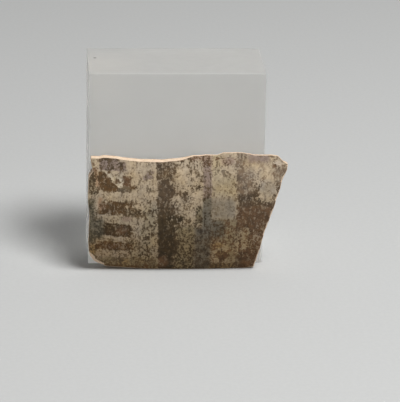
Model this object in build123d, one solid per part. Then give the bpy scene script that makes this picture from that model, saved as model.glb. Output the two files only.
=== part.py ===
"""A painted pottery sherd shown against a small frosted acrylic display block, in millimetres.

+Z is up, the block's broad front face looks along -Y, and the origin is the centre of the block's
underside. The sherd is a piece of the wall of a round pot lying on its side: the pot's axis runs
along X, so the wall bulges forward between the sherd's top and bottom edges. The sherd stands on the
same surface as the block, with its top edge almost touching the block's front face, and two dots of
museum wax, hidden behind it, hold it still.
"""

import math
import os

from build123d import *

# Display block, sawn from cast acrylic sheet and sanded to a frosted finish.
BLOCK_WIDTH = 50.0
BLOCK_DEPTH = 25.0
BLOCK_HEIGHT = 57.0
BLOCK_EDGE_RADIUS = 0.25
FRONT_Y = -BLOCK_DEPTH / 2

# Pot wall that the sherd comes from.
POT_RADIUS = 36.0
PROFILE_RADIUS = 400.0  # slow curve of the wall along the pot's axis
WIDEST_X = 2.0  # where along X the pot is widest
WALL = 3.0
POT_HALF_LENGTH = 40.0

# Where the pot's axis lies, so that the sherd stands on Z = 0 and its top edge just clears the block.
FOOT_STANDOFF = 4.8  # lower front edge of the sherd, ahead of the block
AXIS_Z = 16.8
AXIS_Y = FRONT_Y - FOOT_STANDOFF + math.sqrt(POT_RADIUS**2 - AXIS_Z**2)

# Corners of the sherd's broken outline, as X and Z seen from the front, clockwise.
TOP_BREAK = [
    (-24.4, 33.4),
    (-22.0, 33.4),
    (-20.9, 33.7),
    (-17.4, 33.4),
    (-14.0, 33.1),
    (-10.6, 32.8),
    (-3.9, 32.7),
    (-0.5, 33.0),
    (1.2, 33.2),
    (2.9, 33.6),
    (4.6, 34.1),
    (8.0, 34.4),
    (9.8, 34.3),
    (11.4, 34.4),
    (13.0, 35.0),
    (18.3, 34.8),
    (20.0, 34.5),
    (21.7, 34.1),
    (26.9, 34.1),
    (28.6, 33.7),
    (30.0, 32.3),
]
RIGHT_BREAK = [
    (31.3, 31.6),
    (31.1, 30.2),
    (29.6, 27.0),
    (29.2, 25.3),
    (28.0, 22.0),
    (27.6, 20.3),
    (26.3, 16.8),
    (25.0, 13.0),
    (24.2, 9.2),
    (23.4, 5.1),
]
BOTTOM_BREAK = [
    (22.4, 0.4),
    (18.5, 0.0),
    (0.0, 0.0),
    (-4.6, 0.1),
    (-9.2, 0.2),
    (-13.8, 0.5),
    (-18.3, 0.8),
    (-20.7, 1.2),
]
LEFT_BREAK = [
    (-21.9, 1.7),
    (-23.0, 2.6),
    (-24.3, 4.3),
    (-25.0, 6.3),
    (-25.1, 9.4),
    (-24.9, 16.0),
    (-25.3, 23.0),
    (-25.0, 28.4),
    (-23.9, 29.9),
    (-24.5, 32.5),
]

# Museum wax dots between the block and the hollow back of the sherd.
WAX_DIAMETER = 5.5
WAX_BULGE = 0.4
WAX_REACH = 5.2  # longer than the gap it fills, and cut back to the sherd's hollow
WAX_Z = 27.0
WAX_X = {"wax_dot_left": -12.0, "wax_dot_right": 14.0}
WAX_CLEARANCE = 0.1


def display_block():
    """The solid block, with every edge eased by sanding."""
    block = Box(
        BLOCK_WIDTH,
        BLOCK_DEPTH,
        BLOCK_HEIGHT,
        align=(Align.CENTER, Align.CENTER, Align.MIN),
    )
    return fillet(block.edges(), BLOCK_EDGE_RADIUS)


def pot_body(inset):
    """The pot as a solid of revolution about its axis, with its surface set inward by inset."""
    radius = POT_RADIUS - inset
    profile_radius = PROFILE_RADIUS - inset
    end_sag = profile_radius - math.sqrt(profile_radius**2 - POT_HALF_LENGTH**2)
    left_x = WIDEST_X - POT_HALF_LENGTH
    right_x = WIDEST_X + POT_HALF_LENGTH
    edge_y = AXIS_Y + radius - end_sag
    left = (left_x, edge_y, AXIS_Z)
    right = (right_x, edge_y, AXIS_Z)
    crown = (WIDEST_X, AXIS_Y + radius, AXIS_Z)
    profile = Wire(
        [
            ThreePointArc(left, crown, right).edge(),
            Line(right, (right_x, AXIS_Y, AXIS_Z)).edge(),
            Line((right_x, AXIS_Y, AXIS_Z), (left_x, AXIS_Y, AXIS_Z)).edge(),
            Line((left_x, AXIS_Y, AXIS_Z), left).edge(),
        ]
    )
    return revolve(Face(profile), axis=Axis((0, AXIS_Y, AXIS_Z), (1, 0, 0)))


def outline_prism():
    """The broken outline, carried straight through the wall along Y."""
    plane = Plane((0, FRONT_Y + 2.0, 0), x_dir=(1, 0, 0), z_dir=(0, -1, 0))
    corners = TOP_BREAK + RIGHT_BREAK + BOTTOM_BREAK + LEFT_BREAK
    outline = make_face(Polyline(*corners, close=True))
    return extrude(plane * outline, amount=WALL + FOOT_STANDOFF + 8.0)


def sherd():
    """The piece of wall that the outline cuts from the pot."""
    wall = pot_body(0) - pot_body(WALL)
    return wall & outline_prism()


def wax_dot(x):
    """A pressed ball of wax on the block's face, which ends just short of the sherd's back."""
    rim = WAX_DIAMETER / 2
    middle = (rim + WAX_BULGE, WAX_REACH / 2)
    profile = Wire(
        [
            Line((0, 0), (rim, 0)).edge(),
            ThreePointArc((rim, 0), middle, (rim, WAX_REACH)).edge(),
            Line((rim, WAX_REACH), (0, WAX_REACH)).edge(),
            Line((0, WAX_REACH), (0, 0)).edge(),
        ]
    )
    barrel = revolve(Face(profile), axis=Axis.Y)
    placed = Pos(x, FRONT_Y, WAX_Z) * Rot(180, 0, 0) * barrel
    return placed & pot_body(WALL + WAX_CLEARANCE)


def write(shape, node):
    """Writes one sub-part as a STEP file named after its node."""
    shape.label = node
    export_step(shape, f"parts/{node}.step")


os.makedirs("parts", exist_ok=True)
write(display_block(), "display_block")
write(sherd(), "sherd")
for node, x in WAX_X.items():
    write(wax_dot(x), node)
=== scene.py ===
"""Looks for a museum display block with a painted pottery sherd standing against it.

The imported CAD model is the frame: +Z up, the block's broad face towards -Y, metres. The sherd is
rebuilt here as a fine mesh with broken edges, chips and worn paint, and the block and the wax dots as
meshes with eased and uneven edges. Each stands for its CAD node. Lengths below are in millimetres, and
MM turns them into the frame's metres.
"""

import math

import bmesh
import bpy
import numpy as np
from mathutils import Matrix, Vector


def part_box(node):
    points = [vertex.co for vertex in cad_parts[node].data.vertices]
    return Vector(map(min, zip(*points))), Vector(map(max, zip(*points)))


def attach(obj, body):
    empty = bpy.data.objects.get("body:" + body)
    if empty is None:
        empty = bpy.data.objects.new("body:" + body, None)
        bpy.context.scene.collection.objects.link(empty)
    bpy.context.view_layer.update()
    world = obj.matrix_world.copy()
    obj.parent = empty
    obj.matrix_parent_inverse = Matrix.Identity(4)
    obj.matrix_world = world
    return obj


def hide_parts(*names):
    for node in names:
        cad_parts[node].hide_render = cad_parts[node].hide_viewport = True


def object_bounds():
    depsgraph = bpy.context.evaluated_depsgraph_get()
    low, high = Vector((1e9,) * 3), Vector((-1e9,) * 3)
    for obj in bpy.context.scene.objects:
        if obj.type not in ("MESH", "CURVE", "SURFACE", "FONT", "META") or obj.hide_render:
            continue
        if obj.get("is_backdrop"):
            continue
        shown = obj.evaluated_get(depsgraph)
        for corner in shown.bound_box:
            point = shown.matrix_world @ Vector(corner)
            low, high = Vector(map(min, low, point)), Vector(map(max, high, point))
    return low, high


MM = 0.001

# Camera, a little left of square-on and above.
AIM = Vector((6.88, -12.5, 18.97))
CAMERA_DISTANCE = 720.5
CAMERA_AZIMUTH = math.radians(4.2)
CAMERA_ELEVATION = math.radians(19.92)
CAMERA_ROLL = math.radians(1.15)
CAMERA_LENS = 227.0
SENSOR_WIDTH = 36.0

# Block and pot wall, as in the CAD model.
BLOCK_DEPTH = 25.0
FRONT_Y = -BLOCK_DEPTH / 2
POT_RADIUS = 36.0
PROFILE_RADIUS = 400.0
WIDEST_X = 2.0
WALL = 3.0
FOOT_STANDOFF = 4.8
AXIS_Z = 16.8
AXIS_Y = FRONT_Y - FOOT_STANDOFF + math.sqrt(POT_RADIUS**2 - AXIS_Z**2)

# Display block. Nicks are given as place, radius and depth. Marks are given as place, radius of the
# strongest part, outer radius and colour. The first mark is a painted warm glow on the left of the
# top face, the second a real dark speck, and the last a painted pool of light at the front's lower right.
BLOCK_EDGE_RADIUS = 0.25
BLOCK_SPACING = 0.5
LAMP_SHARE = 0.08  # of the lamp's light, let straight through each face
BLOCK_NICKS = [
    ((23.9, 12.5, 57.0), 0.9, 0.30),
    ((-22.6, -12.5, 57.0), 0.8, 0.22),
    ((24.7, -12.5, 56.8), 0.7, 0.18),
    ((-25.0, -12.5, 41.0), 0.9, 0.20),
]
BLOCK_MARKS_AND_PAINTED_LIGHT = [
    # Painted light: a warm glow on the left of the top face.
    ((-23.0, -4.0, 57.0), 2.0, 16.0, (0.97, 0.945, 0.905)),
    ((-22.9, 3.0, 57.0), 0.25, 0.65, (0.25, 0.24, 0.22)),
    # Painted light: a pale glow at the lower right corner of the front face, where lamp light comes through.
    ((25.0, -12.5, 0.0), 4.0, 22.0, (1.0, 0.99, 0.97)),
]

# Wax dots: points round each ring, rings along the side, and the reach of each ring on the end face.
WAX_CLEARANCE = 0.1
WAX_SIDES = 48
WAX_RINGS = 20
WAX_END_REACHES = [0.65, 0.45, 0.25, 0.1]

# Floor and light, in metres, degrees and watts.
FLOOR_SIZE = 3.0
FLOOR_Z = -0.00003
FLOOR_TONES = ((0.492, 0.496, 0.490), (0.508, 0.512, 0.506))
KEY_AZIMUTH = 41
KEY_ELEVATION = 63
KEY_DISTANCE = 1.1
KEY_TARGET_Z = 0.02
KEY_SIZE = 0.44
KEY_POWER = 14.4
AMBIENT = 0.19

# Corners of the broken outline, X and Z seen from the front. Each line runs left to right or upwards.
TOP_BREAK = [
    (-24.4, 33.4),
    (-22.0, 33.4),
    (-20.9, 33.7),
    (-17.4, 33.4),
    (-14.0, 33.1),
    (-10.6, 32.8),
    (-3.9, 32.7),
    (-0.5, 33.0),
    (1.2, 33.2),
    (2.9, 33.6),
    (4.6, 34.1),
    (8.0, 34.4),
    (9.8, 34.3),
    (11.4, 34.4),
    (13.0, 35.0),
    (18.3, 34.8),
    (20.0, 34.5),
    (21.7, 34.1),
    (26.9, 34.1),
    (28.6, 33.7),
    (30.0, 32.3),
    (31.3, 31.6),
]
RIGHT_BREAK = [
    (22.4, 0.4),
    (23.4, 5.1),
    (24.2, 9.2),
    (25.0, 13.0),
    (26.3, 16.8),
    (27.6, 20.3),
    (28.0, 22.0),
    (29.2, 25.3),
    (29.6, 27.0),
    (31.1, 30.2),
    (31.3, 31.6),
]
BOTTOM_BREAK = [
    (-25.0, 6.3),
    (-24.6, 4.3),
    (-23.4, 2.6),
    (-22.2, 1.7),
    (-20.7, 1.2),
    (-18.3, 0.8),
    (-13.8, 0.5),
    (-9.2, 0.2),
    (-4.6, 0.1),
    (0.0, 0.0),
    (18.5, 0.0),
    (22.4, 0.4),
]
LEFT_BREAK = [
    (-25.0, 6.3),
    (-25.1, 9.4),
    (-24.9, 16.0),
    (-25.3, 23.0),
    (-25.0, 28.4),
    (-23.9, 29.9),
    (-24.5, 32.5),
    (-24.4, 33.4),
]

# Bevel widths where the front face meets the broken edges, how deep a bevel is for its width, and the
# step from one rim point to the next, which sets the grain of the widths.
BEVEL = {"bottom": 0.08, "top": 0.10, "left": 0.05, "right": 0.26, "corner": 0.80}
BEVEL_SLOPE = 0.8
BEVEL_STEP = 0.2

# Sherd mesh. A rim point stands about RIM_STEP from the next one, which sets the grain of the break.
COLUMNS = 260
ROWS = 156
EDGE_RINGS = 10
RIM_STEP = 0.21
BACK_INSET = 0.08  # leaves room for the throwing marks
PIT_COUNT = 110

# Albedos of the slip, roughly from pale to dark.
PALE = (0.52, 0.43, 0.31)
CREAM = (0.45, 0.36, 0.26)
SAND = (0.41, 0.33, 0.215)
SLIP = (0.41, 0.325, 0.225)
OLIVE_PALE = (0.36, 0.29, 0.19)
ROSE = (0.32, 0.235, 0.175)
OCHRE = (0.30, 0.21, 0.10)
ORANGE = (0.33, 0.21, 0.125)
ASH = (0.33, 0.275, 0.21)
DUN = (0.315, 0.25, 0.175)
OLIVE = (0.260, 0.207, 0.125)
LILAC = (0.248, 0.187, 0.152)
GREY = (0.245, 0.203, 0.150)
MOSS_PALE = (0.210, 0.175, 0.120)
SLATE = (0.160, 0.137, 0.102)

# Albedos of the paint.
HAZE = (0.152, 0.107, 0.070)
UMBER = (0.112, 0.082, 0.050)
RUSSET = (0.104, 0.060, 0.032)
SPECK = (0.102, 0.070, 0.039)
BAR = (0.084, 0.048, 0.021)
BAND = (0.078, 0.052, 0.030)
BROWN = (0.075, 0.050, 0.027)
MOSS = (0.068, 0.056, 0.036)
SOOT = (0.066, 0.048, 0.031)
SEPIA = (0.062, 0.043, 0.023)
BAR_DEEP = (0.060, 0.036, 0.016)
DEEP = (0.048, 0.033, 0.017)

# Albedos of the bare clay, its grit, the acrylic and the wax. A pair mottles together.
BREAK_TONES = ((0.64, 0.46, 0.31), (0.77, 0.62, 0.47))
HOLLOW_TONES = ((0.40, 0.28, 0.19), (0.50, 0.37, 0.26))
GRIT = (0.34, 0.22, 0.14)
ACRYLIC_TONES = ((0.875, 0.87, 0.85), (0.905, 0.90, 0.88))
WAX_TONES = ((0.74, 0.68, 0.54), (0.84, 0.79, 0.66))

# Random values along each side of a noise lattice, which repeats past them.
LATTICE_SIZE = 128

# What mottling multiplies the slip and the paint by, at its darkest and its lightest.
SLIP_FACTORS = ((0.86, 0.85, 0.83), (1.12, 1.12, 1.12))
INK_FACTORS = ((0.78, 0.79, 0.81), (1.30, 1.26, 1.20))


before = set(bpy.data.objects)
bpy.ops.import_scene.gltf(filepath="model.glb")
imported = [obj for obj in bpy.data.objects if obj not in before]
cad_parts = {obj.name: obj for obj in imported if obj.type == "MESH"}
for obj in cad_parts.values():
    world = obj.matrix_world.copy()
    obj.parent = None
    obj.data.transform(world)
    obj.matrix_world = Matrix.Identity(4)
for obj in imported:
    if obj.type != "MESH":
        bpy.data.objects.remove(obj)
cad_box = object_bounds()


# ---------------------------------------------------------------- random fields


def lattice_noise(points, cell, seed):
    """Smooth values from -1 to 1 at 2-D points, with one random value at each corner of a lattice."""
    table = np.random.default_rng(seed).uniform(-1, 1, (LATTICE_SIZE, LATTICE_SIZE))
    place = points / cell
    corner = np.floor(place).astype(int)
    part = place - corner
    part = part * part * (3 - 2 * part)
    low = corner % LATTICE_SIZE
    high = (corner + 1) % LATTICE_SIZE
    across = part[..., 0]
    near = table[low[..., 0], low[..., 1]] * (1 - across) + table[high[..., 0], low[..., 1]] * across
    far = table[low[..., 0], high[..., 1]] * (1 - across) + table[high[..., 0], high[..., 1]] * across
    return near * (1 - part[..., 1]) + far * part[..., 1]


def fractal(points, cell, octaves, seed):
    """Lattice noise summed over octaves, each half the size and a little over half as strong."""
    total = np.zeros(points.shape[:-1])
    weight = 1.0
    for octave in range(octaves):
        total += weight * lattice_noise(points, cell / 2**octave, seed + octave)
        weight *= 0.55
    return total


def ramp(value, low, high):
    """0 at low, 1 at high, and smooth between. Low may be above high, which turns it round."""
    share = np.clip((value - low) / (high - low), 0, 1)
    return share * share * (3 - 2 * share)


def window(value, low, high, soft):
    """1 between low and high, 0 outside, with edges soft wide."""
    return ramp(value, low - soft / 2, low + soft / 2) * ramp(value, high + soft / 2, high - soft / 2)


# ---------------------------------------------------------------- sherd outline and pot wall


def resample(corners, count):
    """A line of points through the corners, evenly spaced along its length."""
    corners = np.array(corners, float)
    steps = np.hypot(*np.diff(corners, axis=0).T)
    along = np.concatenate([[0], np.cumsum(steps)])
    wanted = np.linspace(0, along[-1], count)
    return np.stack([np.interp(wanted, along, corners[:, k]) for k in (0, 1)], axis=-1)


def coons_patch(bottom, top, left, right):
    """A grid of points that fills four boundary lines, as rows from bottom to top."""
    u = np.linspace(0, 1, len(bottom))[None, :, None]
    v = np.linspace(0, 1, len(left))[:, None, None]
    across = (1 - v) * bottom[None] + v * top[None]
    up = (1 - u) * left[:, None] + u * right[:, None]
    corners = (
        (1 - u) * (1 - v) * bottom[0]
        + u * (1 - v) * bottom[-1]
        + (1 - u) * v * top[0]
        + u * v * top[-1]
    )
    return across + up - corners


def pot_y(x, z, inset):
    """Y of the pot's surface set inward by inset, at an X and Z."""
    profile = PROFILE_RADIUS - inset
    radius = POT_RADIUS - inset - profile + np.sqrt(profile**2 - (x - WIDEST_X) ** 2)
    return AXIS_Y - np.sqrt(radius**2 - (z - AXIS_Z) ** 2)


def perimeter(grid):
    """The grid's outer entries, once round from the lower left corner, anticlockwise from the front."""
    return np.concatenate([grid[0, :-1], grid[:-1, -1], grid[-1, :0:-1], grid[:0:-1, 0]])


def ragged(line, seed, size):
    """A boundary line with a fine broken edge, whose two ends stay where they are."""
    count = len(line)
    along = np.stack([np.arange(count) * RIM_STEP, np.full(count, 3.7)], axis=-1)
    push = fractal(along, 3.0, 4, seed) * size
    fade = ramp(np.minimum(np.arange(count), count - 1 - np.arange(count)), 0, 6)
    direction = np.gradient(line, axis=0)
    direction /= np.linalg.norm(direction, axis=1, keepdims=True)
    normal = np.stack([-direction[:, 1], direction[:, 0]], axis=-1)
    return line + normal * (push * fade)[:, None]


def sherd_outline():
    """The four broken edges of the sherd's front face."""
    bottom = ragged(resample(BOTTOM_BREAK, COLUMNS), 11, 0.06)
    top = ragged(resample(TOP_BREAK, COLUMNS), 21, 0.10)
    left = ragged(resample(LEFT_BREAK, ROWS), 31, 0.10)
    right = ragged(resample(RIGHT_BREAK, ROWS), 41, 0.10)
    bottom[:, 1] = np.maximum(bottom[:, 1], 0.0)
    return bottom, top, left, right


# ---------------------------------------------------------------- what is painted on the sherd


class Coat:
    """The sherd's front face: its clay and slip, and the paint that has worn off it in places.

    Every field has one entry for each point of the front grid. Shapes are given in millimetres, and
    soft is how wide a shape's edge is. Cover is the share of the paint that is left, and a cover above 1
    leaves no gaps at all. Ink is the paint's colour, slip is the colour under it, and depth is how far a
    flake has gone down.
    """

    def __init__(self, grid):
        self.x = grid[..., 0]
        self.z = grid[..., 1]
        self.grid = grid
        self.rough_x = self.x + 0.17 * fractal(grid, 1.1, 3, 101)
        self.rough_z = self.z + 0.17 * fractal(grid, 1.1, 3, 111)
        shape = self.x.shape
        self.slip = np.empty(shape + (3,))
        self.slip[:] = SLIP
        self.ink = np.empty(shape + (3,))
        self.ink[:] = SPECK
        self.cover = np.zeros(shape)
        self.depth = np.zeros(shape)

    def paint(self, mask, cover=None, ink=None, slip=None, depth=None):
        """Sets what is left of the paint inside a mask, its colour, the colour under it and its depth."""
        for field, value in ((self.cover, cover), (self.depth, depth)):
            if value is not None:
                field += (value - field) * mask
        for field, colour in ((self.ink, ink), (self.slip, slip)):
            if colour is not None:
                field += (np.array(colour) - field) * mask[..., None]

    def area(self, x_low, x_high, z_low, z_high, soft, slope=0.0):
        """A rectangle whose level edges may slope."""
        level = self.rough_z - slope * (self.x - (x_low + x_high) / 2)
        return window(self.rough_x, x_low, x_high, soft) * window(level, z_low, z_high, soft)

    def patch(self, x_low, x_high, z_low, z_high, soft, cover=None, slope=0.0, **colours):
        """Paints a rectangle."""
        self.paint(self.area(x_low, x_high, z_low, z_high, soft, slope), cover, **colours)

    def dab(self, x, z, wide, high, cover=None, soft=0.9, **colours):
        """Paints an uneven ellipse with these half sizes. Soft is a share of its size."""
        radius = np.hypot((self.rough_x - x) / wide, (self.rough_z - z) / high)
        self.paint(ramp(radius, 1 + soft / 2, 1 - soft / 2), cover, **colours)

    def line(self, points, width, soft, cover=None, **colours):
        """Paints a stroke through the points."""
        nearest = np.full(self.x.shape, 1e9)
        for (x0, z0), (x1, z1) in zip(points, points[1:]):
            length = math.hypot(x1 - x0, z1 - z0)
            along = ((self.rough_x - x0) * (x1 - x0) + (self.rough_z - z0) * (z1 - z0)) / length**2
            along = np.clip(along, 0, 1)
            away_x = self.rough_x - x0 - along * (x1 - x0)
            away_z = self.rough_z - z0 - along * (z1 - z0)
            nearest = np.minimum(nearest, np.hypot(away_x, away_z))
        self.paint(ramp(nearest, width / 2 + soft / 2, width / 2 - soft / 2), cover, **colours)


def paint_ground(coat):
    """Slip all over, more specked lower down, and darkened lower down partly as painted shade."""
    coat.cover += 0.13 + 0.08 * ramp(coat.z, 27, 19) + 0.14 * ramp(coat.z, 18, 5)
    # The slip's darkening towards the bottom is partly painted shade, for the lower face turning from the
    # lamp.
    coat.slip *= (1 - 0.04 * ramp(coat.z, 21, 15) - 0.10 * ramp(coat.z, 14, 4))[..., None]


def paint_bars(coat):
    """The column of short bars at the left."""
    # The faded top bar.
    coat.patch(-21.9, -16.6, 30.3, 33.5, 0.5, 0.74, ink=BROWN, slip=LILAC)
    coat.patch(-16.8, -14.6, 30.2, 32.6, 1.0, 0.55, ink=BROWN, slip=LILAC)
    for x in (-20.4, -17.6):
        coat.dab(x, 32.0, 1.1, 1.0, 0.34, soft=1.4)
    # The second bar, which the loop lies on.
    coat.patch(-22.4, -13.1, 24.6, 28.9, 0.4, 0.98, slope=-0.06, ink=BAR)
    coat.patch(-17.0, -13.1, 24.5, 26.4, 0.7, 0.98, slope=-0.06, ink=UMBER)
    coat.patch(-22.2, -19.0, 28.0, 30.0, 0.7, 0.95, ink=BAR)
    coat.patch(-15.4, -13.1, 26.2, 28.9, 0.4, 0.98, ink=RUSSET)
    coat.dab(-12.5, 25.7, 0.9, 0.5, 0.8, ink=BAR)
    # The third bar, which slopes down and smears out to the right.
    coat.patch(-22.0, -20.3, 18.2, 22.0, 0.9, 0.92, ink=BAR)
    coat.patch(-20.6, -17.0, 18.0, 22.0, 0.5, 0.98, slope=-0.25, ink=BAR)
    coat.patch(-17.4, -12.8, 18.2, 21.8, 0.7, 0.95, slope=-0.05, ink=BAR)
    coat.patch(-15.0, -10.2, 17.6, 19.8, 1.4, 0.70, ink=BROWN)
    coat.dab(-14.4, 21.0, 0.4, 0.9, 0.5)
    coat.dab(-20.1, 22.2, 0.4, 0.7, 0.3)
    # The fourth bar.
    coat.patch(-21.2, -13.1, 11.4, 15.2, 0.45, 0.99, slope=-0.1, ink=BAR_DEEP)
    coat.dab(-19.3, 13.8, 1.8, 0.9, 0.74, slip=OCHRE)
    coat.dab(-15.7, 13.3, 1.5, 1.2, 0.97, ink=RUSSET)
    # The fifth bar.
    coat.patch(-23.2, -12.3, 6.9, 9.5, 0.7, 0.88, slope=-0.08, ink=BAR)
    coat.dab(-18.2, 8.0, 1.8, 0.8, 0.80, slip=LILAC)
    coat.dab(-11.2, 8.8, 0.8, 1.2, 0.74, ink=BROWN)
    # The line along the foot.
    coat.patch(-22.0, -5.4, -1.0, 4.2, 1.2, 0.56, ink=SPECK, slip=OLIVE)
    coat.patch(-22.0, -6.4, -1.0, 1.6, 1.0, 0.78, ink=BAR)
    coat.dab(-15.2, 2.7, 1.6, 1.4, 0.5, slip=OCHRE)
    # The pale gaps between the bars.
    coat.patch(-21.8, -13.8, 22.5, 24.3, 0.7, 0.16)
    coat.patch(-21.4, -13.6, 15.6, 17.7, 0.8, 0.21)
    coat.dab(-14.4, 17.0, 1.4, 1.0, slip=ROSE)
    coat.patch(-21.0, -13.6, 9.7, 11.0, 0.7, 0.23)
    coat.patch(-21.8, -13.4, 4.4, 6.6, 0.9, 0.21, slope=-0.05)


def paint_left_edge(coat):
    """The dark, greenish worn edge at the left, with rusty clay showing beside it."""
    edge = ramp(coat.rough_x, -22.4, -24.2)
    coat.paint(edge * window(coat.z, 9.0, 22.4, 1.2), 0.62, ink=MOSS, slip=MOSS_PALE)
    coat.patch(-25.6, -22.4, 23.6, 30.0, 1.0, 0.54, ink=BROWN, slip=OLIVE_PALE)
    coat.paint(edge * window(coat.z, 25.0, 29.4, 1.2), 0.70, ink=BROWN)
    coat.patch(-25.4, -20.8, 10.6, 16.8, 1.6, 0.62, ink=MOSS, slip=MOSS_PALE)
    coat.line([(-23.0, 30.8), (-22.8, 28.6), (-22.6, 26.2)], 0.8, 1.2, 0.28, ink=RUSSET, slip=ORANGE)
    coat.line([(-21.7, 22.6), (-22.1, 21.0), (-21.7, 19.6)], 1.0, 1.1, 0.30, slip=ORANGE, depth=0.08)
    coat.dab(-21.0, 20.4, 0.9, 0.9, 0.94, ink=RUSSET)
    coat.patch(-25.0, -22.2, 30.8, 33.8, 0.8, 0.42, ink=RUSSET, slip=OLIVE_PALE, depth=0.06)
    coat.dab(-22.9, 31.8, 0.5, 1.6, 0.16, slip=SLIP)
    coat.dab(-23.6, 30.6, 1.0, 0.6, 0.80, ink=RUSSET)
    coat.dab(-23.9, 6.8, 0.9, 2.0, 0.30, slip=OCHRE)


def paint_loop(coat):
    """The pale worn loop with its dark centre."""
    ring = [(-20.1, 29.8), (-19.4, 29.3), (-18.5, 28.2), (-18.1, 27.3), (-17.3, 26.5), (-16.3, 25.7)]
    ring += [(-15.7, 26.2), (-15.6, 27.3), (-16.2, 28.1), (-17.2, 28.7)]
    coat.patch(-18.4, -12.9, 28.9, 30.2, 0.5, 0.18)
    coat.dab(-17.1, 28.0, 1.3, 1.2, 0.10, soft=0.5, slip=OLIVE_PALE)
    coat.line(ring, 0.6, 0.4, 0.0, slip=PALE, depth=0.04)
    coat.dab(-16.4, 26.4, 0.8, 0.6, 0.0, soft=0.4, slip=PALE)
    coat.dab(-17.0, 27.5, 0.6, 0.6, 0.95, soft=0.5, ink=RUSSET, depth=0.08)


def paint_first_strip(coat):
    """The tan strip between the bars and the dark band, more stained towards the bottom."""
    coat.dab(-11.3, 31.2, 1.8, 1.6, 0.10)
    coat.dab(-9.0, 25.0, 1.8, 2.6, 0.14)
    coat.line([(-9.4, 28.2), (-8.6, 29.0), (-7.2, 29.9)], 0.9, 0.8, 0.74, slip=LILAC)
    coat.dab(-8.2, 28.5, 1.2, 0.5, 0.45, slip=LILAC)
    coat.patch(-13.2, -7.6, 20.6, 23.0, 1.6, 0.30)
    coat.patch(-9.6, -6.0, 14.0, 20.6, 2.4, 0.50, ink=BROWN, slip=OLIVE_PALE)
    coat.patch(-10.6, -5.8, 3.2, 15.0, 2.6, 0.50, ink=BROWN, slip=OLIVE_PALE)
    coat.dab(-11.6, 15.6, 1.6, 1.6, 0.20)
    coat.dab(-12.2, 12.6, 0.9, 2.4, 0.26)
    coat.patch(-13.4, -10.4, 3.0, 9.4, 1.6, 0.54, slip=OLIVE_PALE)
    coat.line([(-12.5, 9.2), (-12.2, 3.4)], 0.4, 0.5, 0.22)
    coat.line([(-10.2, 8.4), (-10.0, 4.6)], 0.3, 0.5, 0.28)
    coat.line([(-6.8, 11.0), (-6.6, 3.2), (-7.8, 2.6), (-10.6, 2.6)], 0.4, 0.5, 0.26, slip=OLIVE_PALE)


def paint_second_strip(coat):
    """The tan strip right of the dark band, more stained towards the bottom."""
    coat.patch(-0.8, 7.6, 31.4, 34.6, 1.6, 0.38, ink=BROWN)
    coat.patch(3.6, 7.2, 33.0, 34.8, 0.8, 0.56, ink=RUSSET, slip=ROSE)
    coat.dab(1.5, 28.4, 1.6, 2.0, 0.05)
    coat.dab(4.2, 29.6, 1.6, 1.4, 0.34)
    coat.patch(2.8, 7.3, 24.2, 30.4, 1.6, 0.36, ink=BROWN)
    coat.dab(4.9, 28.6, 1.0, 0.8, 0.12)
    coat.dab(5.2, 22.4, 1.6, 2.0, 0.14)
    coat.dab(1.2, 21.0, 1.0, 1.6, 0.20)
    coat.dab(3.4, 18.6, 1.6, 1.6, 0.22)
    coat.patch(5.2, 7.6, 15.2, 20.4, 1.4, 0.50, ink=DEEP, slip=OLIVE)
    coat.patch(-0.4, 7.4, 14.8, 17.0, 1.8, 0.58, ink=BROWN)
    coat.patch(-0.6, 5.4, -1.0, 14.6, 2.0, 0.58, ink=SEPIA, slip=OLIVE)
    coat.dab(1.4, 12.6, 1.5, 1.8, 0.42)
    coat.line([(2.6, 12.0), (2.9, 6.0)], 1.3, 1.4, 0.46, slip=OLIVE)


def paint_dark_band(coat):
    """The broad dark band, worn at its top and ragged along its right side."""
    left = -6.05 + 0.028 * (33 - coat.z)
    right = -0.7 + 0.8 * fractal(coat.grid, 2.2, 3, 301)
    band = ramp(coat.rough_x, left - 0.3, left + 0.3) * ramp(coat.x, right + 0.9, right - 0.9)
    worn = ramp(coat.z, 24.0, 27.5)
    inner = ramp(coat.x, -4.4, -2.4)
    coat.paint(band, 0.98 - 0.18 * worn - 0.16 * inner * worn, ink=BAND)
    coat.paint(band * worn, slip=DUN)
    coat.paint(band * ramp(coat.z, 22.0, 15.0), 1.12, ink=DEEP)
    coat.dab(-3.9, 2.8, 1.4, 2.2, 0.92, ink=RUSSET)
    coat.line([(-0.4, 25.0), (1.4, 24.0), (2.2, 22.6)], 2.2, 1.6, 0.78, ink=BAND)
    coat.dab(-0.6, 16.6, 2.4, 1.4, 0.74, ink=DEEP)
    coat.dab(-1.1, 22.4, 0.8, 1.2, 0.45)
    coat.dab(-2.6, 31.4, 1.6, 1.0, 0.60)
    coat.line([(-5.4, 32.6), (-1.0, 32.9), (2.0, 33.3)], 0.5, 0.6, 0.84, ink=RUSSET)


def paint_grey_band(coat):
    """The narrow lilac-grey band, which darkens and fades out downwards."""
    coat.patch(7.2, 9.6, 22.0, 31.6, 0.5, 0.22, ink=BROWN, slip=LILAC)
    coat.patch(7.0, 9.8, 13.0, 23.0, 1.2, 0.30, ink=DEEP, slip=SLATE)
    coat.patch(7.0, 9.8, 31.4, 34.8, 0.9, 0.70, ink=RUSSET, slip=ROSE)
    coat.patch(4.9, 9.9, -1.0, 14.2, 1.6, 0.60, ink=SOOT, slip=SLATE)


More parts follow.
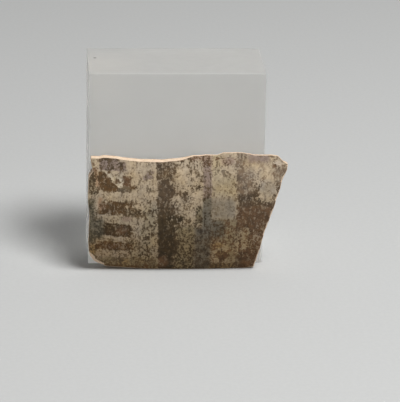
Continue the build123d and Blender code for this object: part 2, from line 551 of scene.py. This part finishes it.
def paint_third_strip(coat):
    """The tan strip with a smooth grey patch near its middle."""
    coat.patch(9.9, 16.6, 29.4, 35.4, 1.4, 0.11, ink=BROWN)
    coat.patch(10.4, 16.0, 27.6, 30.4, 1.4, 0.16)
    coat.patch(10.0, 16.4, 23.2, 28.4, 1.8, 0.10, slip=OLIVE_PALE)
    coat.patch(9.9, 12.0, 28.4, 34.6, 1.4, 0.16, slip=SAND)
    coat.dab(14.4, 32.7, 1.8, 1.0, 0.40, ink=RUSSET, slip=ROSE)
    coat.dab(10.8, 33.4, 1.2, 0.6, 0.60, ink=RUSSET)
    coat.paint(window(coat.z, 16.4, 22.9, 3.2) * window(coat.x, 9.7, 16.4, 1.6), 0.06, slip=GREY)
    coat.patch(9.8, 17.2, -1.0, 16.6, 2.4, 0.58, ink=RUSSET, slip=OLIVE)
    coat.patch(10.2, 16.8, 1.6, 9.4, 1.6, 0.40, ink=RUSSET, slip=OLIVE_PALE)
    coat.patch(9.4, 13.4, 11.0, 16.4, 2.0, 0.60, ink=BROWN, slip=SLATE)
    for x, z, wide, high in ((15.6, 14.0, 1.3, 0.9), (15.2, 9.2, 1.4, 2.2), (15.6, 4.6, 1.2, 2.4)):
        coat.dab(x, z, wide, high, 0.34, slip=OLIVE)
    coat.dab(11.6, 8.4, 1.8, 1.0, 0.54, slip=OCHRE)
    coat.dab(13.0, 5.0, 1.7, 1.6, 0.76, ink=RUSSET, slip=OCHRE)
    coat.patch(9.8, 17.0, -1.0, 2.0, 1.6, 0.70, ink=BROWN, slip=OCHRE)


def paint_right_field(coat):
    """The brown field at the right, worn to tan in its upper corner and mottled towards the bottom."""
    field = ramp(coat.rough_x, 16.4, 17.1)
    coat.paint(field, 0.93, ink=BAND)
    coat.paint(field * ramp(coat.z, 25.5, 30.0), 0.50, ink=HAZE)
    coat.patch(16.8, 21.4, 24.0, 31.0, 2.4, 0.60, ink=HAZE, slip=DUN)
    coat.patch(16.8, 20.6, 30.6, 35.4, 1.4, 0.52, ink=HAZE, slip=DUN)
    coat.patch(20.0, 26.0, 32.2, 34.8, 1.4, 0.20, slip=LILAC)
    coat.paint(field * window(coat.rough_z, 13.4, 20.4, 3.0), 0.99, ink=RUSSET)
    coat.patch(16.4, 21.4, 4.4, 13.6, 3.0, 0.56, ink=RUSSET, slip=OLIVE_PALE)
    coat.patch(20.4, 25.6, 5.0, 13.6, 2.4, 0.74, ink=RUSSET)
    coat.patch(18.6, 24.4, -1.0, 6.0, 2.4, 0.93, ink=RUSSET)
    coat.line([(21.6, 31.0), (24.6, 30.6), (26.2, 29.2), (25.8, 25.4), (25.0, 23.6)], 4.6, 2.8, 0.08)
    coat.line([(21.4, 29.4), (23.2, 27.0)], 2.6, 2.4, 0.20)
    coat.dab(25.4, 25.4, 2.4, 2.2, slip=ASH)
    coat.dab(28.4, 32.0, 1.3, 0.9, 0.06, slip=CREAM)
    coat.dab(27.6, 31.4, 0.5, 0.5, 0.92, ink=RUSSET, depth=0.14)
    coat.dab(28.6, 29.3, 1.5, 1.5, 0.74, ink=HAZE, slip=DUN)
    coat.line([(31.0, 31.2), (30.4, 29.2), (29.2, 26.4)], 1.2, 0.8, 0.56, ink=HAZE, slip=DUN)


def finish_wear(coat):
    """Breaks up every area a little, so that no cover or colour is even over a large patch."""
    half_worn = 4 * coat.cover * (1 - coat.cover)
    coat.cover += (0.03 + 0.13 * half_worn) * fractal(coat.grid, 2.0, 4, 221)
    stain = (0.26 * np.clip(coat.cover, 0, 1))[..., None]
    coat.slip += (coat.ink - coat.slip) * stain
    warm = fractal(coat.grid, 3.2, 4, 201)
    light = fractal(coat.grid, 1.8, 4, 211)
    warmer_below = 1 + np.array((0.13, 0.04, -0.08)) * ramp(coat.z, 16, 7)[..., None]
    for field in (coat.slip, coat.ink):
        field *= (1 + 0.07 * light[..., None]) * warmer_below
        field[..., 0] *= 1 + 0.03 * warm
        field[..., 2] *= 1 - 0.07 * warm


def painted_coat(grid):
    """The finished front face, features laid one over another in this order."""
    coat = Coat(grid)
    for layer in (
        paint_ground,
        paint_first_strip,
        paint_bars,
        paint_left_edge,
        paint_loop,
        paint_second_strip,
        paint_dark_band,
        paint_grey_band,
        paint_third_strip,
        paint_right_field,
        finish_wear,
    ):
        layer(coat)
    return coat


# ---------------------------------------------------------------- sherd mesh


def edge_bevel(grid):
    """How far the front face is cut back near its broken edges, and how much clay that bares."""
    rim = perimeter(grid)
    counts = {"bottom": COLUMNS, "right": ROWS, "top": COLUMNS, "left": ROWS}
    widths = np.concatenate([np.full(count - 1, BEVEL[name]) for name, count in counts.items()])
    chamfer = window(rim[:, 0], -24.9, -20.6, 0.4) * window(rim[:, 1], 0.5, 6.2, 0.5)
    widths = widths + (BEVEL["corner"] - widths) * chamfer
    along = np.stack([np.arange(len(rim)) * BEVEL_STEP, np.zeros(len(rim))], axis=-1)
    widths = widths * (1 + 0.5 * fractal(along, 1.4, 3, 401))
    away = np.empty(grid.shape[:2])
    nearest = np.empty(grid.shape[:2], int)
    for row, points in enumerate(grid):
        gaps = np.hypot(*(points[:, None] - rim[None]).transpose(2, 0, 1))
        nearest[row] = gaps.argmin(axis=1)
        away[row] = gaps.min(axis=1)
    width = np.maximum(widths[nearest], 0.04)
    share = np.clip(1 - away / width, 0, 1)
    return width * BEVEL_SLOPE * share, ramp(share, 0.0, 0.35)


def relief(coat):
    """Depth in millimetres below the pot's true surface: turning lines, grain, dents and pits."""
    stretched = coat.grid * np.array([1.0, 0.07])
    depth = 0.05 + 0.022 * fractal(stretched, 1.3, 3, 501)
    depth += 0.014 * fractal(coat.grid, 0.9, 2, 511)
    depth += 0.05 * ramp(fractal(coat.grid, 5.0, 2, 521), 0.0, 1.2)
    # Each pit has an X, a Z, a radius and a depth between these.
    lowest = (-24, 1, 0.2, 0.03)
    highest = (30, 34, 0.5, 0.12)
    pits = np.random.default_rng(531).uniform(lowest, highest, (PIT_COUNT, 4))
    for x, z, radius, pit in pits:
        away = np.hypot(coat.x - x, coat.z - z)
        depth += pit * ramp(away, radius, 0)
    return depth + coat.depth


def strip_faces(lower, upper):
    """Quads between two closed rings of point numbers, facing outward for an anticlockwise ring."""
    return np.stack([lower, np.roll(lower, -1), np.roll(upper, -1), upper], axis=-1)


def grid_faces(numbers):
    """Quads over a grid of point numbers, facing -Y."""
    corners = [numbers[:-1, :-1], numbers[:-1, 1:], numbers[1:, 1:], numbers[1:, :-1]]
    return np.stack(corners, axis=-1).reshape(-1, 4)


def build_mesh(name, points, faces, material):
    """A smooth-shaded mesh object from points in millimetres and a list of faces."""
    mesh = bpy.data.meshes.new(name)
    mesh.from_pydata((points * MM).tolist(), [], faces)
    mesh.polygons.foreach_set("use_smooth", [True] * len(mesh.polygons))
    mesh.materials.append(material)
    mesh.validate()
    piece = bpy.data.objects.new(name, mesh)
    bpy.context.scene.collection.objects.link(piece)
    return piece


def add_field(mesh, name, values):
    """Stores a number or a colour for each point of a mesh."""
    if values.ndim == 1:
        field = mesh.attributes.new(name, "FLOAT", "POINT")
        field.data.foreach_set("value", values.astype(np.float32))
    else:
        field = mesh.attributes.new(name, "FLOAT_COLOR", "POINT")
        opaque = np.concatenate([values, np.ones((len(values), 1))], axis=1)
        field.data.foreach_set("color", opaque.astype(np.float32).ravel())


def sherd_back(grid):
    """Points of the hollow back, which stops a little below the front along the top break."""
    x = grid[..., 0]
    z = grid[..., 1]
    drop = 0.36 + 0.46 * ramp(x, 0, 6) + 0.20 * window(x, 11, 20, 3)
    z = z - drop * ramp(z, 29.5, 33.5)
    turning = 0.05 * fractal(grid * np.array([1.0, 0.05]), 1.6, 3, 601)
    turning += 0.02 * fractal(grid, 0.9, 2, 611)
    return np.stack([x, pot_y(x, z, WALL) - BACK_INSET + turning, z], axis=-1)


def break_rings(front_rim, back_rim):
    """Closed rings of points from the front's rim to the back's, which make the rough, hollowed break."""
    tangent = np.roll(front_rim, -1, axis=0) - np.roll(front_rim, 1, axis=0)
    outward = np.stack([tangent[:, 2], np.zeros(len(tangent)), -tangent[:, 0]], axis=-1)
    outward /= np.linalg.norm(outward, axis=1, keepdims=True)
    along = np.arange(len(front_rim)) * RIM_STEP
    rings = []
    for step in range(1, EDGE_RINGS + 1):
        share = step / (EDGE_RINGS + 1)
        ring = front_rim + (back_rim - front_rim) * share
        place = np.stack([along, np.full(len(along), share * WALL)], axis=-1)
        rough = 0.10 * fractal(place, 1.1, 3, 621) - 0.10
        ring = ring + outward * (rough * math.sin(math.pi * share) ** 0.5)[:, None]
        ring[:, 2] = np.maximum(ring[:, 2], 0.0)
        rings.append(ring)
    return rings


def sherd_faces(rim_length):
    """Quads of the front, the back and the break. Points are numbered front, back, then ring by ring."""
    count = ROWS * COLUMNS
    front = np.arange(count).reshape(ROWS, COLUMNS)
    back = front + count
    rings = [perimeter(front)]
    for step in range(EDGE_RINGS):
        rings.append(2 * count + step * rim_length + np.arange(rim_length))
    rings.append(perimeter(back))
    faces = [grid_faces(front), grid_faces(back)[:, ::-1]]
    for near, far in zip(rings, rings[1:]):
        faces.append(strip_faces(far, near))
    return np.concatenate(faces).tolist()


def build_sherd(material):
    """The sherd: painted front face, rough broken edges and bare hollow back, as one closed mesh."""
    grid = coons_patch(*sherd_outline())
    coat = painted_coat(grid)
    cut, bared = edge_bevel(grid)
    x = grid[..., 0]
    z = grid[..., 1]
    front = np.stack([x, pot_y(x, z, 0) + relief(coat) + cut, z], axis=-1)
    back = sherd_back(grid)
    rings = break_rings(perimeter(front), perimeter(back))
    points = np.concatenate([front.reshape(-1, 3), back.reshape(-1, 3)] + rings)
    piece = build_mesh("sherd_body", points, sherd_faces(len(rings[0])), material)

    # The front carries the coat, and all the other points are bare clay.
    count = ROWS * COLUMNS
    spare = len(points) - count
    fields = {
        "clay": np.concatenate([bared.ravel(), np.ones(spare)]),
        "cover": np.concatenate([coat.cover.ravel(), np.zeros(spare)]),
        "slip": np.concatenate([coat.slip.reshape(-1, 3), np.tile(SLIP, (spare, 1))]),
        "ink": np.concatenate([coat.ink.reshape(-1, 3), np.tile(BROWN, (spare, 1))]),
        "hollow": np.concatenate([np.zeros(count), np.ones(count), np.zeros(spare - count)]),
    }
    for name, values in fields.items():
        add_field(piece.data, name, values)
    return piece


# ---------------------------------------------------------------- display block and wax


def span(half, radius, spacing):
    """Places along one side of a block: even in the middle, closer round the eased edges."""
    flat = half - radius
    inner = np.linspace(-flat, flat, int(2 * flat / spacing) + 1)
    turn = radius * np.tan(np.radians([15, 30, 45]))
    return np.concatenate([-flat - turn[::-1], inner, flat + turn])


def build_block(material):
    """The display block, with eased edges that the sanding has left slightly uneven."""
    low, high = (np.array(corner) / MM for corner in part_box("display_block"))
    centre = (low + high) / 2
    half = (high - low) / 2
    points = []
    faces = []
    for axis in range(3):
        u = (axis + 1) % 3
        v = (axis + 2) % 3
        for side in (-1, 1):
            places_u = span(half[u], BLOCK_EDGE_RADIUS, BLOCK_SPACING)
            places_v = span(half[v], BLOCK_EDGE_RADIUS, BLOCK_SPACING)
            sheet = np.empty((len(places_u), len(places_v), 3))
            sheet[..., axis] = side * half[axis]
            sheet[..., u] = places_u[:, None]
            sheet[..., v] = places_v[None, :]
            numbers = np.arange(sheet.shape[0] * sheet.shape[1]).reshape(sheet.shape[:2])
            numbers = numbers + sum(len(group) for group in points)
            quads = grid_faces(numbers.T)
            points.append(sheet.reshape(-1, 3))
            faces.append(quads if side > 0 else quads[:, ::-1])
    points = np.concatenate(points)
    inner = np.clip(points, -(half - BLOCK_EDGE_RADIUS), half - BLOCK_EDGE_RADIUS)
    outward = points - inner
    outward /= np.linalg.norm(outward, axis=1, keepdims=True)
    points = inner + outward * BLOCK_EDGE_RADIUS
    uneven = fractal(points[:, :2] + points[:, 2:] * 0.7, 9.0, 3, 701)
    depth = 0.03 * np.abs(uneven)
    for place, radius, nick in BLOCK_NICKS:
        away = np.linalg.norm(points + centre - np.array(place), axis=1)
        depth = depth + nick * ramp(away, radius, 0)
    # The lowest millimetre stays true, so that the block stands flat.
    depth *= points[:, 2] > -half[2] + 1
    points = points - outward * depth[:, None] + centre
    piece = build_mesh("block_body", points, np.concatenate(faces).tolist(), material)
    shape = bmesh.new()
    shape.from_mesh(piece.data)
    bmesh.ops.remove_doubles(shape, verts=shape.verts, dist=1e-7)
    shape.to_mesh(piece.data)
    shape.free()
    return piece


def build_wax(node, seed, material):
    """A dot of wax pressed between the block and the sherd, with a squeezed, finger-worn rim."""
    low, high = (np.array(corner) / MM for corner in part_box(node))
    centre = (low + high) / 2
    radius = (high[0] - low[0]) / 2
    shares = np.linspace(0, 1, WAX_RINGS)
    reaches = 0.86 + 0.14 * np.sin(math.pi * shares) ** 0.7
    shares = np.append(shares, [1.0] * len(WAX_END_REACHES))
    reaches = np.append(reaches, WAX_END_REACHES)
    points = []
    for share, reach in zip(shares, reaches):
        for turn in np.arange(WAX_SIDES) * 2 * math.pi / WAX_SIDES:
            place = np.array([math.cos(turn) * 2 + 5, math.sin(turn) * 2 + share * 3 + 5])
            wobble = 1 - 0.05 * (1 + float(fractal(place, 1.6, 2, seed)) / 1.6)
            x = centre[0] + radius * wobble * reach * math.cos(turn)
            z = centre[2] + radius * wobble * reach * math.sin(turn)
            end = max(low[1], pot_y(x, z, WALL) + WAX_CLEARANCE)
            points.append((x, high[1] + (end - high[1]) * share, z))
    points.append((centre[0], high[1], centre[2]))
    points.append((centre[0], pot_y(centre[0], centre[2], WALL) + WAX_CLEARANCE, centre[2]))

    ring = np.arange(WAX_SIDES)
    last = (len(shares) - 1) * WAX_SIDES
    root_centre = last + WAX_SIDES
    end_centre = root_centre + 1
    faces = []
    for first in range(0, last, WAX_SIDES):
        faces += strip_faces(ring + first, ring + first + WAX_SIDES).tolist()
    for side in range(WAX_SIDES):
        after = (side + 1) % WAX_SIDES
        faces.append([root_centre, after, side])
        faces.append([end_centre, last + side, last + after])
    return build_mesh(f"{node}_lump", np.array(points), faces, material)


# ---------------------------------------------------------------- materials


class Nodes:
    """Short ways to add shader nodes to one material. Texture places are in millimetres on the part."""

    def __init__(self, name):
        self.material = bpy.data.materials.new(name)
        self.material.use_nodes = True
        self.tree = self.material.node_tree
        self.shader = self.tree.nodes["Principled BSDF"]
        coordinates = self.tree.nodes.new("ShaderNodeTexCoord")
        self.place = self.scaled(coordinates.outputs["Object"], (1 / MM, 1 / MM, 1 / MM))

    def put(self, socket, value):
        """Links a socket to an input, or sets the input to a constant."""
        if isinstance(value, bpy.types.NodeSocket):
            self.tree.links.new(value, socket)
        else:
            socket.default_value = value

    def set(self, **settings):
        """Sets the shader's inputs, with underscores for the spaces in their names."""
        for name, value in settings.items():
            self.put(self.shader.inputs[name.replace("_", " ")], value)

    def scaled(self, vector, factors):
        """A vector times one factor for each axis."""
        node = self.tree.nodes.new("ShaderNodeVectorMath")
        node.operation = "MULTIPLY"
        self.put(node.inputs[0], vector)
        self.put(node.inputs[1], factors)
        return node.outputs[0]

    def noise(self, cell, detail=3.0, roughness=0.55, place=None):
        """Noise from 0 to 1 with cells of this size."""
        node = self.tree.nodes.new("ShaderNodeTexNoise")
        self.put(node.inputs["Vector"], self.place if place is None else place)
        node.inputs["Scale"].default_value = 1 / cell
        node.inputs["Detail"].default_value = detail
        node.inputs["Roughness"].default_value = roughness
        return node.outputs["Fac"]

    def distance(self, place):
        """How far each point is from a place."""
        node = self.tree.nodes.new("ShaderNodeVectorMath")
        node.operation = "DISTANCE"
        self.put(node.inputs[0], self.place)
        self.put(node.inputs[1], place)
        return node.outputs["Value"]

    def field(self, name, output="Fac"):
        """What the mesh stores for each point under this name, as a number or as its Color."""
        node = self.tree.nodes.new("ShaderNodeAttribute")
        node.attribute_name = name
        return node.outputs[output]

    def maths(self, operation, a, b):
        """Two numbers put through one operation."""
        node = self.tree.nodes.new("ShaderNodeMath")
        node.operation = operation
        self.put(node.inputs[0], a)
        self.put(node.inputs[1], b)
        return node.outputs[0]

    def blend(self, *parts):
        """The sum of several numbers, each given with its weight."""
        total = None
        for value, weight in parts:
            part = self.maths("MULTIPLY", value, weight)
            total = part if total is None else self.maths("ADD", total, part)
        return total

    def spread(self, value, low, high, to_low=0.0, to_high=1.0):
        """A smooth step from to_low to to_high as the value goes from low to high."""
        node = self.tree.nodes.new("ShaderNodeMapRange")
        node.interpolation_type = "SMOOTHSTEP"
        settings = {"Value": value, "From Min": low, "From Max": high, "To Min": to_low, "To Max": to_high}
        for name, setting in settings.items():
            self.put(node.inputs[name], setting)
        return node.outputs[0]

    def mix(self, share, a, b, method="MIX"):
        """Colour a with this share of colour b mixed into it."""
        node = self.tree.nodes.new("ShaderNodeMix")
        node.data_type = "RGBA"
        node.blend_type = method
        self.put(node.inputs["Factor"], share)
        for name, colour in (("A", a), ("B", b)):
            socket = [s for s in node.inputs if s.name == name and s.type == "RGBA"][0]
            self.put(socket, (*colour, 1.0) if isinstance(colour, tuple) else colour)
        return [s for s in node.outputs if s.type == "RGBA"][0]

    def mottle(self, cell, detail, roughness, low, high, tones):
        """A colour that wanders between two tones, with noise of this cell size."""
        share = self.spread(self.noise(cell, detail, roughness), low, high)
        return self.mix(share, *tones)

    def bump(self, height, distance, strength=1.0):
        """Roughens the shading as if the surface rose by distance where height is 1."""
        node = self.tree.nodes.new("ShaderNodeBump")
        node.inputs["Strength"].default_value = strength
        node.inputs["Distance"].default_value = distance * MM
        self.put(node.inputs["Height"], height)
        self.put(self.shader.inputs["Normal"], node.outputs[0])

    def pass_lamp_light(self, share):
        """Lets this share of the lamp's light straight through each face, as a clear solid does."""
        path = self.tree.nodes.new("ShaderNodeLightPath")
        clear = self.tree.nodes.new("ShaderNodeBsdfTransparent")
        mixer = self.tree.nodes.new("ShaderNodeMixShader")
        self.put(mixer.inputs[0], self.maths("MULTIPLY", path.outputs["Is Shadow Ray"], share))
        self.put(mixer.inputs[1], self.shader.outputs[0])
        self.put(mixer.inputs[2], clear.outputs[0])
        self.put(self.tree.nodes["Material Output"].inputs["Surface"], mixer.outputs[0])


def clay_material():
    """Worn slip with dark paint on the front, and bare fired clay on the breaks and the back."""
    nodes = Nodes("fired_clay_worn")

    # Where paint is left: a grain of fine, coarse and drawn-out specks against the stored cover.
    fine = nodes.noise(0.50, 2.0, 0.6)
    coarse = nodes.noise(1.3, 3.0, 0.6)
    drawn = nodes.noise(0.6, 2.0, 0.6, nodes.scaled(nodes.place, (1.0, 1.0, 0.28)))
    grain = nodes.blend((fine, 0.40), (coarse, 0.28), (drawn, 0.32))
    left = nodes.maths("ADD", nodes.field("cover"), nodes.spread(grain, 0.41, 0.59))
    painted = nodes.spread(left, 0.60, 1.40)

    # Slip and paint, both mottled, with a little pale dust over them.
    slip_tone = nodes.mottle(0.8, 4.0, 0.65, 0.35, 0.65, SLIP_FACTORS)
    slip = nodes.mix(1.0, nodes.field("slip", "Color"), slip_tone, "MULTIPLY")
    ink_tone = nodes.mottle(1.5, 4.0, 0.6, 0.35, 0.65, INK_FACTORS)
    ink = nodes.mix(1.0, nodes.field("ink", "Color"), ink_tone, "MULTIPLY")
    coat = nodes.mix(painted, slip, ink)
    dust = nodes.spread(nodes.noise(0.35, 2.0, 0.6), 0.60, 0.72)
    coat = nodes.mix(nodes.maths("MULTIPLY", dust, 0.10), coat, SLIP)

    # Bare clay: pale and gritty on the breaks, darker in the hollow.
    body = nodes.mottle(0.7, 4.0, 0.7, 0.3, 0.7, BREAK_TONES)
    grit = nodes.spread(nodes.noise(0.28, 2.0, 0.5), 0.66, 0.74)
    body = nodes.mix(nodes.maths("MULTIPLY", grit, 0.45), body, GRIT)
    inside = nodes.mottle(3.5, 4.0, 0.6, 0.35, 0.65, HOLLOW_TONES)
    body = nodes.mix(nodes.field("hollow"), body, inside)
    uneven = nodes.maths("MULTIPLY", nodes.maths("SUBTRACT", fine, 0.5), 0.5)
    bare = nodes.spread(nodes.maths("ADD", nodes.field("clay"), uneven), 0.35, 0.6)

    colour = nodes.mix(bare, coat, body)
    rough = nodes.spread(grain, 0.3, 0.7, 0.62, 0.86)
    nodes.set(Base_Color=colour, Roughness=rough, Specular_IOR_Level=0.18)
    nodes.bump(nodes.blend((painted, 0.5), (fine, 0.5)), 0.05)
    return nodes.material


def acrylic_material():
    """Cast acrylic sanded all over, so that it is milky and lets blurred light through."""
    nodes = Nodes("acrylic_frosted")
    colour = nodes.mottle(14.0, 3.0, 0.5, 0.3, 0.7, ACRYLIC_TONES)
    # The first and last of these colours are painted light, a glow on the top and a bright lower front
    # corner; the middle one is a real dark speck.
    for place, near, far, speck_and_painted_light in BLOCK_MARKS_AND_PAINTED_LIGHT:
        colour = nodes.mix(nodes.spread(nodes.distance(place), near, far), speck_and_painted_light, colour)
    rough = nodes.spread(nodes.noise(3.0, 3.0, 0.6), 0.3, 0.7, 0.72, 0.82)
    nodes.set(Base_Color=colour, Roughness=rough, IOR=1.49, Transmission_Weight=0.85, Specular_IOR_Level=0.5)
    nodes.set(Coat_Weight=0.35, Coat_Roughness=0.2)
    swirl = nodes.noise(0.4, 3.0, 0.6)
    scratches = nodes.noise(0.5, 3.0, 0.65, nodes.scaled(nodes.place, (0.25, 1.0, 1.6)))
    nodes.bump(nodes.maths("ADD", swirl, scratches), 0.02, 0.6)
    nodes.pass_lamp_light(LAMP_SHARE)
    return nodes.material


def wax_material():
    """Soft cream museum wax."""
    nodes = Nodes("museum_wax_soft")
    colour = nodes.mottle(1.2, 3.0, 0.6, 0.3, 0.7, WAX_TONES)
    rough = nodes.spread(nodes.noise(0.8, 3.0, 0.6), 0.3, 0.7, 0.42, 0.6)
    nodes.set(Base_Color=colour, Roughness=rough, Subsurface_Weight=0.4, Subsurface_Scale=0.002)
    nodes.bump(nodes.noise(0.9, 3.0, 0.6), 0.06)
    return nodes.material


def floor_material():
    """Matt pale grey board."""
    nodes = Nodes("floor_board")
    colour = nodes.mottle(1.2, 3.0, 0.6, 0.3, 0.7, FLOOR_TONES)
    nodes.set(Base_Color=colour, Roughness=0.95, Specular_IOR_Level=0.1)
    return nodes.material


# ---------------------------------------------------------------- camera, floor, lights


def add_camera():
    """The camera, turned a little on its own axis."""
    data = bpy.data.cameras.new("camera")
    data.sensor_fit = "HORIZONTAL"
    data.sensor_width = SENSOR_WIDTH
    data.lens = CAMERA_LENS
    data.clip_end = 20
    forward = Vector(
        (
            math.sin(CAMERA_AZIMUTH) * math.cos(CAMERA_ELEVATION),
            math.cos(CAMERA_AZIMUTH) * math.cos(CAMERA_ELEVATION),
            -math.sin(CAMERA_ELEVATION),
        )
    )
    level = Vector((math.cos(CAMERA_AZIMUTH), -math.sin(CAMERA_AZIMUTH), 0))
    upright = level.cross(forward)
    right = math.cos(CAMERA_ROLL) * level + math.sin(CAMERA_ROLL) * upright
    up = math.cos(CAMERA_ROLL) * upright - math.sin(CAMERA_ROLL) * level
    camera = bpy.data.objects.new("camera", data)
    turn = Matrix((right, up, -forward)).transposed().to_4x4()
    camera.matrix_world = Matrix.Translation((AIM - forward * CAMERA_DISTANCE) * MM) @ turn
    bpy.context.scene.collection.objects.link(camera)
    bpy.context.scene.camera = camera


def add_key_light():
    """The one lamp, square and soft, above and to the right of the camera."""
    data = bpy.data.lights.new("key", "AREA")
    data.shape = "SQUARE"
    data.size = KEY_SIZE
    data.energy = KEY_POWER
    light = bpy.data.objects.new("key", data)
    turn = math.radians(KEY_AZIMUTH)
    lift = math.radians(KEY_ELEVATION)
    towards = Vector((math.sin(turn) * math.cos(lift), -math.cos(turn) * math.cos(lift), math.sin(lift)))
    light.location = towards * KEY_DISTANCE + Vector((0, 0, KEY_TARGET_Z))
    light.rotation_euler = towards.to_track_quat("Z", "Y").to_euler()
    bpy.context.scene.collection.objects.link(light)


def add_floor():
    """A wide flat pale board."""
    half = FLOOR_SIZE / 2
    corners = [(x, y, FLOOR_Z) for x, y in ((-half, -half), (half, -half), (half, half), (-half, half))]
    mesh = bpy.data.meshes.new("floor")
    mesh.from_pydata(corners, [], [(0, 1, 2, 3)])
    mesh.materials.append(floor_material())
    floor = bpy.data.objects.new("floor", mesh)
    bpy.context.scene.collection.objects.link(floor)
    floor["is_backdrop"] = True


def add_world():
    """A weak even grey light from all round."""
    world = bpy.data.worlds.new("studio")
    world.use_nodes = True
    background = world.node_tree.nodes["Background"]
    background.inputs["Color"].default_value = (1.0, 1.0, 1.0, 1.0)
    background.inputs["Strength"].default_value = AMBIENT
    bpy.context.scene.world = world


# ---------------------------------------------------------------- the scene

add_camera()
add_world()
add_floor()
add_key_light()
bpy.context.scene.view_settings.view_transform = "Standard"

sherd = build_sherd(clay_material())
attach(sherd, "sherd")
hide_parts("sherd")

block = build_block(acrylic_material())
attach(block, "block")
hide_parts("display_block")

wax = wax_material()
for node, seed in (("wax_dot_left", 801), ("wax_dot_right", 811)):
    dot = build_wax(node, seed, wax)
    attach(dot, "block")
    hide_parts(node)

boxes = {"cad": cad_box, "visual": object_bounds()}
boxes = {name: [list(corner) for corner in box] for name, box in boxes.items()}
